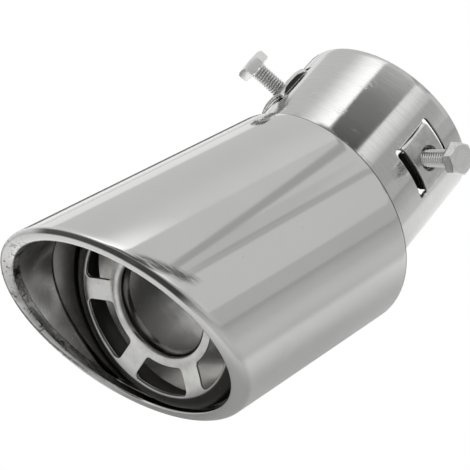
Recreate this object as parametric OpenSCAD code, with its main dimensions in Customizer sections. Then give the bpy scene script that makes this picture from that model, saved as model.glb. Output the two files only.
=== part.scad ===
// Slash-cut exhaust tip with a rolled lip, a windowed grille and a bent inlet
// that three screws clamp to the tailpipe. Millimetres, +Z up, mouth towards -Y.
// The origin is the centre of the inlet's rim.

/* [Shell] */
// Outside diameter of the polished shell
shell_od = 80; // [70:0.5:95]
// Length on the axis, from the middle of the mouth to the middle of the rear end
shell_len = 95.3; // [85:0.1:130]
// Sheet thickness of the shell, the sleeve, the liner and the inlet
wall = 1.2; // [0.8:0.1:1.4]
// Angle of the slash cut, away from square
slash_angle = 27; // [15:0.5:30]
// Turn of the slash cut about the shell's axis, away from the plane of the bend
slash_turn = 18.7; // [0:0.1:30]
// Angle of the rear end, away from square
rear_angle = 8.1; // [4:0.1:12]
// Thickness of the plate that closes the rear end
end_plate_t = 1.5; // [1:0.1:2.5]

/* [Rolled lip] */
// Width of the lip across the sheet, from outside to the mouth
lip_w = 4.7; // [4.2:0.1:6]
// Radius of the roll on the outside of the lip
lip_round = 2.9; // [2.4:0.1:3.2]
// Radius of the roll on the mouth side of the lip
lip_nose = 1.5; // [1.4:0.05:1.6]
// How far the sheet returns into the mouth behind the lip
hem_len = 4.5; // [3.5:0.1:6]

/* [Mouth sleeve and liner] */
// Space between the shell and the liner
liner_gap = 3; // [2.2:0.1:6]
// Distance of the seam behind the middle of the mouth
seam_depth = 8.55; // [7:0.05:10]
// Angle of the seam, away from square
seam_angle = 13.6; // [8:0.1:15]
// Groove left open at the seam
seam_gap = 0.4; // [0.2:0.05:0.8]
// Inward step from the liner to the sleeve at the seam
seam_step = 0.3; // [0.1:0.05:0.5]

/* [Grille] */
// Distance of the hub ring's face behind the middle of the mouth
grille_depth = 18.5; // [16:0.1:22]
// Sheet thickness of the grille
grille_t = 1.2; // [0.8:0.1:1.5]
// How far the face comes forward from the hub ring to its shoulder
grille_dish = 2.4; // [1:0.1:3]
// Radius of the shoulder that turns back to the liner
shoulder_r = 4.4; // [3:0.1:5]
// Length of the grille's flange along the liner
flange_len = 7; // [4:0.5:12]
// Diameter of the hole in the hub
hub_bore = 33; // [26:0.5:34]
// Diameter across the outside of the hub ring
hub_od = 40.7; // [38.5:0.1:44]
// Depth of the collar turned back round the hub's hole
hub_collar = 5; // [3:0.5:8]
// Radius of the bend into the hub's collar
hub_round = 1.8; // [1.5:0.1:2.2]
// Number of windows
window_count = 6; // [4:1:8]
// Width of the spokes between the windows
spoke_w = 7.5; // [4:0.1:9]
// Width of the grille's face outside the windows
window_rim = 1.35; // [0.8:0.05:4]
// Radius of the windows' corners
window_round = 1.6; // [0.8:0.1:2.2]
// Turn of the first spoke about the axis
spoke_turn = 3.7; // [0:0.1:60]

/* [Inlet] */
// How much smaller the inlet's radius is than the shell's, outside
inlet_step = 6.6; // [5.4:0.1:9]
// Length of the inlet on its axis, from the shell's rear end to the rim
inlet_len = 46.3; // [43:0.1:80]
// Angle of the inlet's axis above the shell's
bend_angle = 22.4; // [16:0.1:26]
// Height of the inlet's centre above the shell's, where they join
inlet_rise = 3.4; // [2:0.1:4]

/* [Screw tabs] */
// Number of screws round the inlet
screw_count = 3; // [2:1:3]
// Place of the first screw round the inlet, up from the horizontal
screw_turn = 19; // [0:0.5:60]
// Distance of the screws from the shell's rear end, along the inlet
screw_place = 28.6; // [26:0.1:32]
// Length of a tab along the inlet
tab_len = 13.7; // [13:0.1:17]
// Width of a tab across the inlet, with its side walls
tab_w = 19.4; // [16:0.1:21]
// How far a tab is pressed out past the inlet's face
tab_lift = 1.5; // [0.8:0.1:2]
// Width of the slots at a tab's ends
slot_w = 2.4; // [1.6:0.1:3]
// How far a slot runs past the tab on each side
slot_past = 0.4; // [0.2:0.1:2]

/* [Screws] */
// Shank diameter
shank_d = 6; // [5:0.5:8]
// Shank length
shank_len = 20; // [18:1:25]
// Width of the hexagon head across its flats
head_af = 10; // [8:0.5:13]
// Height of the head
head_h = 4; // [3:0.1:6]
// Height of the head's underside above its tab
screw_out = 10.1; // [10.1:0.1:12]
// Width of the square nut welded behind a tab
nut_w = 10; // [9:0.5:12]
// Height of the nut
nut_h = 5; // [4:0.1:6]
// Clearance of a tab's hole round the shank, on the diameter
hole_play = 1.8; // [0.5:0.1:2]

/* [Welds] */
// Thickness of a tack weld
tack_d = 2.6; // [2:0.1:4]
// Length of a tack weld along the joint
tack_len = 4; // [3:0.1:6]
// Number of tack welds round the inlet
tack_count = 8; // [3:1:10]
// Place of the first tack weld round the inlet, up from the horizontal
tack_turn = 28; // [0:1:45]

/* [Hidden] */
$fn = 96;
seat = 0.05;              // clearance of a part pushed into a tube
thread_play = 0.05;       // clearance of a shank in its nut, on the radius
bevel = 0.75;             // on a screw's point and head
past = 1;                 // how far a cut runs past what it cuts
skin = 0.02;              // how far the lip stays inside the tube's outer face
lip_root = 0.8;           // depth of the lip's root in the tube's wall
lip_sides = 72;           // flats round the lip
shell_r = shell_od / 2;
mouth_r = shell_r - lip_w;
liner_r = shell_r - liner_gap - 2 * wall;
slash_x = tan(slash_angle) * sin(slash_turn);
slash_z = -tan(slash_angle) * cos(slash_turn);
reach = shell_len + shell_od;             // longer than anything along the axis
sleeve_r = mouth_r + wall + seat;         // inside of the sleeve under the lip's hem
flange_r = liner_r - seat;
face_r = flange_r - shoulder_r;           // where the grille's shoulder begins
window_r = face_r - window_rim;
inlet_r = shell_r - inlet_step;
inlet_y = shell_len - inlet_rise * tan(rear_angle);
rim_y = inlet_y + inlet_len * cos(bend_angle);
rim_z = inlet_rise + inlet_len * sin(bend_angle);
tab_r = inlet_r + tab_lift;               // outer face of a tab
under_tab_r = tab_r - wall;
nut_out = sqrt(pow(under_tab_r, 2) - pow(nut_w / 2, 2));       // the nut's edges touch the tab
hole_d = shank_d + hole_play;
steel = [0.78, 0.78, 0.77];
satin = [0.66, 0.66, 0.65];
dark = [0.5, 0.49, 0.47];
zinc = [0.72, 0.72, 0.7];

// Moves the model so that the rim's centre is the origin
module from_rim() translate([0, -rim_y, -rim_z]) children();

// Turns a section, with x as radius and y as place, about the shell's axis
module about_axis() rotate([-90, 0, 0]) rotate_extrude() children();

// All that lies in front of a plane through the axis at y, leaned by an angle
module front_of(y, angle, turn = 0) translate([0, y, 0]) rotate([0, -turn, 0]) rotate([angle, 0, 0])
    translate([-reach, -reach, -reach]) cube([2 * reach, reach, 2 * reach]);

// All that lies behind such a plane
module behind(y, angle, turn = 0) front_of(y, angle + 180, turn);

// Places what is built along z on the inlet's axis, from the shell's rear end
module on_inlet() translate([0, inlet_y, inlet_rise]) rotate([bend_angle - 90, 0, 0]) children();

// Places what is built along x at screw number i, at height h from the inlet's axis
module at_screw(i, h = 0)
    on_inlet() rotate([0, 0, -(screw_turn + 360 / screw_count * i)]) translate([h, 0, screw_place])
        children();

// Points along an arc in the lip's section
function arc_points(centre, r, from, to, steps) =
    [for (i = [0:steps]) let (turn = from + (to - from) * i / steps) centre + r * [cos(turn), sin(turn)]];

// Outline of the lip's sheet, as [radius, place behind the mouth's plane]: from its root in the
// tube round the outside roll, the face and the mouth side, to the hem's edge and back inside
lip_roll = [shell_r - skin - lip_round, lip_round];
lip_turn = [mouth_r + lip_nose, lip_nose];
lip_outline = concat(
    [[shell_r - wall / 2, lip_round + lip_root]],
    arc_points(lip_roll, lip_round, 0, -90, 6),
    arc_points(lip_turn, lip_nose, -90, -180, 4),
    [[mouth_r, hem_len], [mouth_r + wall, hem_len]],
    arc_points(lip_turn, lip_nose - wall, 180, 270, 2),
    arc_points(lip_roll, lip_round - wall, -90, 0, 3));

// The rolled lip goes round the slash-cut mouth with this section in every plane through the axis
module rolled_lip() {
    count = len(lip_outline);
    turns = [for (i = [0:lip_sides - 1]) 360 / lip_sides * i];
    polyhedron(
        [for (turn = turns, p = lip_outline) let (x = p.x * cos(turn), z = p.x * sin(turn))
            [x, p.y + slash_x * x + slash_z * z, z]],
        [for (i = [0:lip_sides - 1], j = [0:count - 1]) let (
            here = i * count, next = (i + 1) % lip_sides * count, k = (j + 1) % count)
            each [[here + j, next + k, next + j], [here + j, here + k, next + k]]]);
}

module outer_shell() color(steel) from_rim() {
    rolled_lip();
    difference() {
        about_axis() translate([shell_r - wall, -shell_r]) square([wall, reach]);
        front_of(lip_round - lip_root / 2, slash_angle, slash_turn);
        behind(shell_len, rear_angle);
    }
}

// A wedge of tube: full depth under the long side of the lip, nothing at the short side
module mouth_sleeve() color(satin) from_rim() difference() {
    start = -shell_r * tan(slash_angle);
    stop = seam_depth + shell_r * tan(seam_angle);
    end_r = liner_r - seam_step;
    about_axis() polygon([[sleeve_r, start], [end_r, stop], [end_r + wall, stop], [sleeve_r + wall, start]]);
    front_of(hem_len + seat, slash_angle, slash_turn);
    behind(seam_depth, seam_angle);
}

module inner_liner() color(satin) from_rim() difference() {
    about_axis() translate([liner_r, -shell_r]) square([wall, reach]);
    front_of(seam_depth + seam_gap, seam_angle);
    front_of(hem_len + seat, slash_angle, slash_turn);
    behind(shell_len - end_plate_t, rear_angle);
}

// Section of the grille's sheet: hub collar, dished face, shoulder and flange
module grille_section() {
    hub_r = hub_bore / 2;
    rim_place = grille_depth - grille_dish;
    bend = hub_round - grille_t;
    difference() {
        union() {
            translate([hub_r + hub_round, grille_depth + hub_round]) circle(hub_round);
            translate([hub_r, grille_depth + hub_round]) square([grille_t, hub_collar - hub_round]);
        }
        translate([hub_r + hub_round, grille_depth + hub_round]) circle(bend);
        translate([hub_r + grille_t, grille_depth + grille_t]) square([hub_od, hub_collar]);
    }
    polygon([
        [hub_r + hub_round, grille_depth], [hub_od / 2, grille_depth], [face_r, rim_place],
        [face_r, rim_place + grille_t], [hub_od / 2, grille_depth + grille_t],
        [hub_r + hub_round, grille_depth + grille_t]]);
    difference() {
        translate([face_r, rim_place + shoulder_r]) circle(shoulder_r);
        translate([face_r, rim_place + shoulder_r]) circle(shoulder_r - grille_t);
        translate([face_r - shoulder_r, rim_place]) square([shoulder_r, 2 * shoulder_r]);
        translate([face_r - shoulder_r, rim_place + shoulder_r]) square([2 * shoulder_r, shoulder_r]);
    }
    translate([flange_r - grille_t, rim_place + shoulder_r]) square([grille_t, flange_len]);
}

// What rounds off a window's corner next to a spoke that lies along x. The corner's
// circle has its centre at radius r, and way is 1 for an outer corner, -1 for an inner one.
module window_corner(r, way) {
    side = spoke_w / 2 + window_round;
    along = sqrt(pow(r, 2) - pow(side, 2));
    difference() {
        translate([along + (way - 1) * window_round, 0]) square([2 * window_round, side]);
        translate([along, side]) circle(window_round);
    }
}

// Outline of one window: the part of a ring between two spokes, with round corners
module window_outline() difference() {
    circle(window_r);
    circle(d = hub_od);
    for (side = [0, 1]) mirror([0, side]) rotate(-180 / window_count) {
        translate([-shell_r, -shell_r]) square([shell_od, shell_r + spoke_w / 2]);
        window_corner(hub_od / 2 + window_round, -1);
        window_corner(window_r - window_round, 1);
    }
}

module grille() color(satin) from_rim() difference() {
    about_axis() grille_section();
    for (i = [1:window_count]) rotate([0, -(spoke_turn + 360 / window_count * (i - 0.5)), 0])
        translate([0, grille_depth + shoulder_r + past, 0]) rotate([90, 0, 0])
            linear_extrude(grille_dish + shoulder_r + 2 * past) window_outline();
}

module end_plate() color(satin) from_rim() difference() {
    about_axis() translate([0, shell_len - shell_r]) square([shell_r - wall - seat, shell_od]);
    front_of(shell_len - end_plate_t, rear_angle);
    behind(shell_len, rear_angle);
    on_inlet() translate([0, 0, -shell_r]) cylinder(r = inlet_r + seat, h = shell_od);
}

// Tube on the inlet's axis
module inlet_tube(outside, inside, start, stop) on_inlet() translate([0, 0, start]) difference() {
    cylinder(r = outside, h = stop - start);
    translate([0, 0, -past]) cylinder(r = inside, h = stop - start + 2 * past);
}

// Block of a width across the inlet that takes in one tab's stretch of the sheet
module tab_block(i, w) at_screw(i) translate([0, -w / 2, -tab_len / 2]) cube([tab_r + past, w, tab_len]);

// Slot with round ends across the inlet, seen from the tab's outside
module tab_slot(z) translate([0, 0, z]) rotate([0, 90, 0]) linear_extrude(inlet_r + past) {
    run = tab_w / 2 + slot_past - slot_w / 2;
    translate([-slot_w / 2, -run]) square([slot_w, 2 * run]);
    for (side = [-1, 1]) translate([0, side * run]) circle(slot_w / 2);
}

// Bridge pressed out of the sheet between two slots, with a wall down each side
module raised_tab(i) {
    intersection() {
        inlet_tube(tab_r, under_tab_r, 0, inlet_len);
        tab_block(i, tab_w);
    }
    intersection() {
        inlet_tube(tab_r - wall / 2, inlet_r - wall / 2, 0, inlet_len);
        difference() {
            tab_block(i, tab_w);
            tab_block(i, tab_w - 2 * wall);
        }
    }
}

module inlet() color(steel) from_rim() difference() {
    union() {
        difference() {
            inlet_tube(inlet_r, inlet_r - wall, -shell_r, inlet_len);
            for (i = [0:screw_count - 1]) {
                tab_block(i, tab_w - 2 * wall);
                for (end = [-1, 1]) at_screw(i) tab_slot(end * (tab_len + slot_w) / 2);
            }
        }
        for (i = [0:screw_count - 1]) raised_tab(i);
    }
    for (i = [0:screw_count - 1]) at_screw(i) rotate([0, 90, 0]) cylinder(d = hole_d, h = tab_r + past);
    front_of(shell_len - end_plate_t + 2 * seat, rear_angle);
}

module nut(i) color(zinc) from_rim() at_screw(i, nut_out) rotate([0, -90, 0]) difference() {
    translate([-nut_w / 2, -nut_w / 2, 0]) cube([nut_w, nut_w, nut_h]);
    translate([0, 0, -past]) cylinder(r = shank_d / 2 + thread_play, h = nut_h + 2 * past);
}

// Hexagon screw: chamfered head, shank and a bevelled point
module screw(i) color(zinc) from_rim() at_screw(i, tab_r + screw_out) rotate([0, 90, 0]) {
    intersection() {
        rotate(30) cylinder(d = head_af / cos(30), h = head_h, $fn = 6);
        union() {
            cylinder(d = head_af / cos(30), h = head_h - bevel);
            translate([0, 0, head_h - bevel])
                cylinder(d1 = head_af / cos(30), d2 = head_af / cos(30) - 4 * bevel, h = bevel);
        }
    }
    translate([0, 0, bevel - shank_len]) cylinder(d = shank_d, h = shank_len - bevel);
    translate([0, 0, -shank_len]) cylinder(d1 = shank_d - 2 * bevel, d2 = shank_d, h = bevel);
}

// Tack welds in the corner between the rear plate and the inlet
module tack_welds() color(dark) from_rim()
    for (turn = [tack_turn:360 / tack_count:tack_turn + 359]) difference() {
        on_inlet() rotate([0, 0, -turn])
            translate([inlet_r, 0, inlet_r * sin(turn) * tan(bend_angle - rear_angle)])
                rotate([90, 0, 0]) cylinder(d = tack_d, h = tack_len, center = true, $fn = 48);
        on_inlet() translate([0, 0, -shell_r]) cylinder(r = inlet_r, h = 2 * shell_r);
        front_of(shell_len, rear_angle);
    }

outer_shell();
mouth_sleeve();
inner_liner();
grille();
end_plate();
inlet();
nut(0);  // nut_right
nut(1);  // nut_left
nut(2);  // nut_lower
screw(0);  // screw_right
screw(1);  // screw_left
screw(2);  // screw_lower
tack_welds();
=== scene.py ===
# Exhaust tip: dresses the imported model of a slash-cut tip with a windowed grille
import math

import bmesh
import bpy
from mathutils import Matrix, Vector, noise
from mathutils.geometry import delaunay_2d_cdt


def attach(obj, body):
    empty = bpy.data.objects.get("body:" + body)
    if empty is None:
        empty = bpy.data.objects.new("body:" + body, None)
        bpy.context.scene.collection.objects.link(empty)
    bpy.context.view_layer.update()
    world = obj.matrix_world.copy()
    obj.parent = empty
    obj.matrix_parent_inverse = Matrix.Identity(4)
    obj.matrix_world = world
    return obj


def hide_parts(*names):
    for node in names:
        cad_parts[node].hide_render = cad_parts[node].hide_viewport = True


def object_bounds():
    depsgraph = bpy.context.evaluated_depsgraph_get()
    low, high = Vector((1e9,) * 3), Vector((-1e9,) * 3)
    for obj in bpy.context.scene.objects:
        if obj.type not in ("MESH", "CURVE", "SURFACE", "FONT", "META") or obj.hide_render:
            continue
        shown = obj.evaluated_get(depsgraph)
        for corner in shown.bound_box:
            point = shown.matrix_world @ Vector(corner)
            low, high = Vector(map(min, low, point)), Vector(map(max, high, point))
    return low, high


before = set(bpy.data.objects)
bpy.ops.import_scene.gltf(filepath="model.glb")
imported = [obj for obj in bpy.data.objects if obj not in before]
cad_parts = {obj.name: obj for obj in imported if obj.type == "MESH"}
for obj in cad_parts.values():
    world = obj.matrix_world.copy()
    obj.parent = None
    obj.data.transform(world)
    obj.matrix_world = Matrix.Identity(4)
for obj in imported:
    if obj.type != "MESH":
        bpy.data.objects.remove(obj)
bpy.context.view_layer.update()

scene = bpy.context.scene

tip = {                        # millimetres, as in the part's source, from the middle of the mouth
    "shellRadius": 40.0,
    "shellLength": 95.3,
    "wall": 1.2,
    "slashX": 0.16336,         # how far the mouth's plane goes back, per mm to the right
    "slashZ": -0.48263,        # and per mm upwards
    "rearSlope": -0.14232,
    "plateThickness": 1.5,
    "mouthRadius": 35.3,
    "linerRadius": 34.6,
    "hemLength": 4.5,
    "inletRadius": 33.4,
    "inletLength": 46.3,
    "inletRise": 3.4,
    "bendAngle": 22.4,
    "screwTurns": {"right": 19.0, "left": 139.0, "lower": 259.0},
    "screwPlace": 28.6,
}
bend = math.radians(tip["bendAngle"])
inletStart = Vector((0, tip["shellLength"] + tip["inletRise"] * tip["rearSlope"], tip["inletRise"]))
inletAxis = Vector((0, math.cos(bend), math.sin(bend)))
inletUp = Vector((0, -math.sin(bend), math.cos(bend)))
rimCentre = inletStart + inletAxis * tip["inletLength"]      # the frame's origin


def mix(a, b, t):
    return a + (b - a) * t


def ease(low, high, value):    # 0 at low, 1 at high, smooth between
    t = min(1.0, max(0.0, (value - low) / (high - low)))
    return t * t * (3 - 2 * t)


def polar(radius, angle, x=0.0, y=0.0):        # a point that far from x, y
    return x + radius * math.cos(angle), y + radius * math.sin(angle)


def bow(x, y, radius, start, end, steps):      # points along an arc
    return [polar(radius, mix(start, end, i / steps), x, y) for i in range(steps + 1)]


def arc(x, y, radius, start, end, steps):      # the same with its angles in degrees
    return bow(x, y, radius, math.radians(start), math.radians(end), steps)


def fullTurn(count):           # so many angles round a circle
    return [2 * math.pi * i / count for i in range(count)]


# Shader nodes written as expressions

def operator(operation, swap=False):   # a method that adds such a Math node
    return lambda wire, other: wire.math(operation, other, swap=swap)


class Wire:                    # a socket; arithmetic on it adds Math nodes
    def __init__(self, finish, socket):
        self.finish = finish
        self.socket = socket

    def math(self, operation, *others, swap=False):
        values = [self, *others]
        if swap:
            values.reverse()
        return self.finish.node("Math", {"operation": operation}, dict(enumerate(values)))

    __add__ = __radd__ = operator("ADD")
    __mul__ = __rmul__ = operator("MULTIPLY")
    __sub__ = operator("SUBTRACT")
    __rsub__ = operator("SUBTRACT", swap=True)
    __truediv__ = operator("DIVIDE")
    __rtruediv__ = operator("DIVIDE", swap=True)
    __pow__ = operator("POWER")
    __rpow__ = operator("POWER", swap=True)
    least = operator("MINIMUM")
    most = operator("MAXIMUM")

    def size(self):
        return self.math("ABSOLUTE")

    def ramp(self, low, high, start=0.0, end=1.0):      # smooth step from start to end
        sockets = {"Value": self, "From Min": low, "From Max": high, "To Min": start, "To Max": end}
        return self.finish.node("MapRange", {"interpolation_type": "SMOOTHSTEP"}, sockets)

    def fade(self, low, high):         # 1 up to low, 0 from high
        return self.ramp(low, high, 1.0, 0.0)

    def near(self, middle, inner, outer):      # 1 within inner of the middle, 0 outside outer
        return (self - middle).size().fade(inner, outer)

    def far(self, middle, inner, outer):
        return (self - middle).size().ramp(inner, outer)

    def sway(self, amount):            # a noise as a change to both sides
        return (self - 0.5) * amount


class Finish:                  # a node tree being wired up
    def __init__(self, tree):
        self.tree = tree
        tree.nodes.clear()

    def node(self, kind, settings=None, inputs=None, out=0):
        made = self.tree.nodes.new("ShaderNode" + kind)
        for name, value in (settings or {}).items():
            setattr(made, name, value)
        for name, value in (inputs or {}).items():
            if isinstance(value, Wire):
                self.tree.links.new(value.socket, made.inputs[name])
            else:
                made.inputs[name].default_value = value
        return None if out is None else Wire(self, made.outputs[out])

    def place(self):
        return self.node("TexCoord", out="Object")

    def axes(self, vector):
        made = self.node("SeparateXYZ", {}, {0: vector}).socket.node
        return [Wire(self, socket) for socket in made.outputs]

    def vector(self, x, y, z):
        return self.node("CombineXYZ", {}, {"X": x, "Y": y, "Z": z})

    def noise(self, vector, scale, detail=3.0, roughness=0.55):
        sockets = {"Vector": vector, "Scale": scale, "Detail": detail, "Roughness": roughness}
        return self.node("TexNoise", {}, sockets)

    def blend(self, factor, a, b):
        values = {0: factor, 6: a, 7: b}
        values = {k: (*v, 1.0) if isinstance(v, tuple) else v for k, v in values.items()}
        return self.node("Mix", {"data_type": "RGBA"}, values, out=2)

    def layers(self, colour, *coats):          # each coat is a mask and the colour it lays on
        for mask, coat in coats:
            colour = self.blend(mask, colour, coat)
        return colour

    def bump(self, height, strength, distance):
        return self.node("Bump", {}, {"Height": height, "Strength": strength, "Distance": distance})

    def metal(self, colour, roughness, bump, metallic=1.0):
        sockets = {"Base Color": colour, "Roughness": roughness, "Metallic": metallic, "Normal": bump}
        return self.node("BsdfPrincipled", {}, sockets)


def finishMaterial(name, build):
    material = bpy.data.materials.new(name)
    material.use_nodes = True
    finish = Finish(material.node_tree)
    finish.node("OutputMaterial", {}, {"Surface": build(finish)}, out=None)
    return material


# Places on the object that a material needs, in millimetres

def alongShell(finish):        # right, back and up from the middle of the mouth
    x, y, z = finish.axes(finish.place())
    return x * 1000 + rimCentre.x, y * 1000 + rimCentre.y, z * 1000 + rimCentre.z


def alongInlet(finish):        # right, up and along the inlet's axis, from the shell's rear end
    x, y, z = alongShell(finish)
    y, z = y - inletStart.y, z - inletStart.z
    return x, y * inletUp.y + z * inletUp.z, y * inletAxis.y + z * inletAxis.z


def roundAxis(right, up):      # degrees from the right, and distance from the axis
    return up.math("ARCTAN2", right) * (180 / math.pi), (right * right + up * up).math("SQRT")


polished = {
    "colour": (0.70, 0.70, 0.695),
    "cloudColour": (0.60, 0.595, 0.58),
    "speckColour": (0.30, 0.29, 0.27),
    "roughness": 0.085,
    "waviness": 0.10,
    "lipColour": (0.78, 0.78, 0.772),
    "lipPaintedShade": (0.52, 0.52, 0.512),       # painted shade, a darker copy of the lip's colour on its lower and left parts
    "lipFilm": (0.25, 0.245, 0.235),       # on its left side
    "lipRoughness": 0.15,
    "pitsAndShade": (0.045, 0.044, 0.042),         # of pits, and painted shade in lines along the lip
    "pitDepth": 6.0,
    "creaseIn": 2.1,           # of the line on the lip, from the shell's outside
    "creaseLean": 0.035,       # towards the axis, per degree
    # painted shadow along the shell's rear edge, where it meets the inlet
    "rearEdgeShadow": (0.04, 0.04, 0.038),
    "dentTurn": -11.0,         # degrees up from the shell's right
    "dentBack": 32.0,
    "dentDepth": 16.0,
    "darkPatch": (0.15, 0.148, 0.143),        # a painted dark reflection next to the lip, where the polish is also a little rougher
    "reflectionTurn": 53.0,
    "reflectionBack": 5.63,
    "reflectionLean": -0.27,       # per degree: it leaves the lip towards the right
}


def polishedSteel(finish):
    right, back, up = alongShell(finish)
    turn, reach = roundAxis(right, up)
    place = finish.vector(right, back, up)
    outside, mouth = tip["shellRadius"], tip["mouthRadius"]
    fromMouth = back - right * tip["slashX"] - up * tip["slashZ"]
    fromRear = back - up * tip["rearSlope"] - tip["shellLength"]
    lip = fromMouth.fade(2.2, 5.0)
    leftSide = turn.size().ramp(140.0, 172.0)
    pitted = turn.size().ramp(110.0, 150.0)
    cloud = finish.noise(place, 0.045, 3.0, 0.5)
    grain = finish.noise(finish.vector(turn * 0.5, back * 0.02, 0.0), 1.6, 5.0, 0.62)
    lipGrain = finish.noise(finish.vector(turn * 0.03, reach * 3.0, 0.0), 1.1, 4.0, 0.6)
    lineBreakup = finish.noise(place, 0.30, 4.0, 0.65)
    speck = finish.noise(place, 0.9, 2.0, 0.5).ramp(0.735, 0.77)
    pits = finish.noise(place, 0.55, 4.0, 0.7).ramp(0.585, 0.61) * lip * pitted
    film = finish.noise(place, 0.16, 5.0, 0.6).ramp(0.40, 0.60) * leftSide * lip
    streaks = finish.noise(finish.vector(turn * 0.16, fromMouth * 1.7, 5.0), 1.0, 5.0, 0.65)

    # painted shade: dark lines round the lip's outer edge, on the hem, and on a crease that winds inwards
    lineTurn = turn.near(72.0, 30.0, 42.0) * 0.65 + turn.near(-105.0, 30.0, 60.0) * 0.4
    lineTurn = (lineTurn + leftSide * 0.4 + 0.35) * turn.far(-20.0, 40.0, 60.0)
    edge = (reach + leftSide * 0.7).ramp(outside - 1.8, outside - 1.25)
    edge = edge * fromMouth.fade(1.5, 2.4) * lineTurn
    hem = reach.fade(mouth + 0.4, mouth + 0.9) * fromMouth.ramp(0.5, 1.2)
    hem = hem * lineBreakup.ramp(0.45, 0.65) * pitted * 0.45
    creaseReach = outside - polished["creaseIn"] - (turn + 180.0) * polished["creaseLean"]
    crease = reach.near(creaseReach, 0.35, 0.85) * turn.fade(-140.0, -126.0)
    crease = crease * lineBreakup.ramp(0.30, 0.48) * fromMouth.fade(2.0, 3.0)
    # the real pits, together with the painted shade of those lines
    pitsAndShade = (pits + edge + hem + crease * 0.85).least(1.0)

    # painted reflection: a dark patch on the shell next to the lip
    reflectionBack = polished["reflectionBack"] + (turn - polished["reflectionTurn"]) * polished["reflectionLean"]
    darkPatch = fromMouth.near(reflectionBack, 0.7, 3.4) * streaks.ramp(0.33, 0.55)
    darkPatch = darkPatch * turn.near(polished["reflectionTurn"], 7.0, 14.0)
    dent = turn.near(polished["dentTurn"], 1.0, 7.0) * back.near(polished["dentBack"], 0.1, 1.3)
    colour = finish.layers(
        polished["colour"],
        (lip, polished["lipColour"]),
        (cloud.ramp(0.3, 0.7) * 0.16, polished["cloudColour"]),
        (speck * 0.35, polished["speckColour"]),
        # painted shade on the lip's lower and left parts
        (turn.far(80.0, 58.0, 88.0) * lip, polished["lipPaintedShade"]),
        (film * 0.55, polished["lipFilm"]),
        (pitsAndShade, polished["pitsAndShade"]),
        (darkPatch * 0.95, polished["darkPatch"]),
        # painted shadow at the shell's rear edge
        (fromRear.ramp(-1.15, -0.85) * 0.9, polished["rearEdgeShadow"]),
    )
    rough = polished["roughness"] + lip * (polished["lipRoughness"] - polished["roughness"])
    rough = rough + cloud.sway(0.08) + grain.sway(0.04) + lipGrain.sway(0.22) * lip
    rough = rough + pitsAndShade * 0.35 + darkPatch * 0.1
    height = grain * 0.3 + cloud * polished["waviness"] + lipGrain * lip * 1.2
    height = height - pits * polished["pitDepth"] - dent * polished["dentDepth"]
    return finish.metal(colour, rough, finish.bump(height, 0.12, 0.00006), 1.0 - pitsAndShade * 0.85)


brushed = {
    "colour": (0.72, 0.72, 0.712),
    "cloudColour": (0.58, 0.575, 0.56),
    "lineColour": (0.5, 0.5, 0.49),
    "hairColour": (0.38, 0.38, 0.37),
    "tabColour": (0.36, 0.355, 0.345),
    # painted shade inside the inlet
    "insideShade": (0.07, 0.069, 0.067),
    "roughness": 0.10,
    "tabDulness": 0.12,
    "scratches": 0.8,
    "scorch": (0.13, 0.12, 0.11),
    "burntTurns": (118.0, 76.0, 26.0),
    # painted shadow where the inlet meets the rear plate
    "jointShadow": (0.05, 0.048, 0.045),
    "gapShadeColour": (0.012, 0.012, 0.011),
    "gapShadeWidths": {"right": 0.45, "left": 1.3, "lower": 0.9},      # painted shadow on the walls at the tabs' sides, in place of dark openings
}


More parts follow.
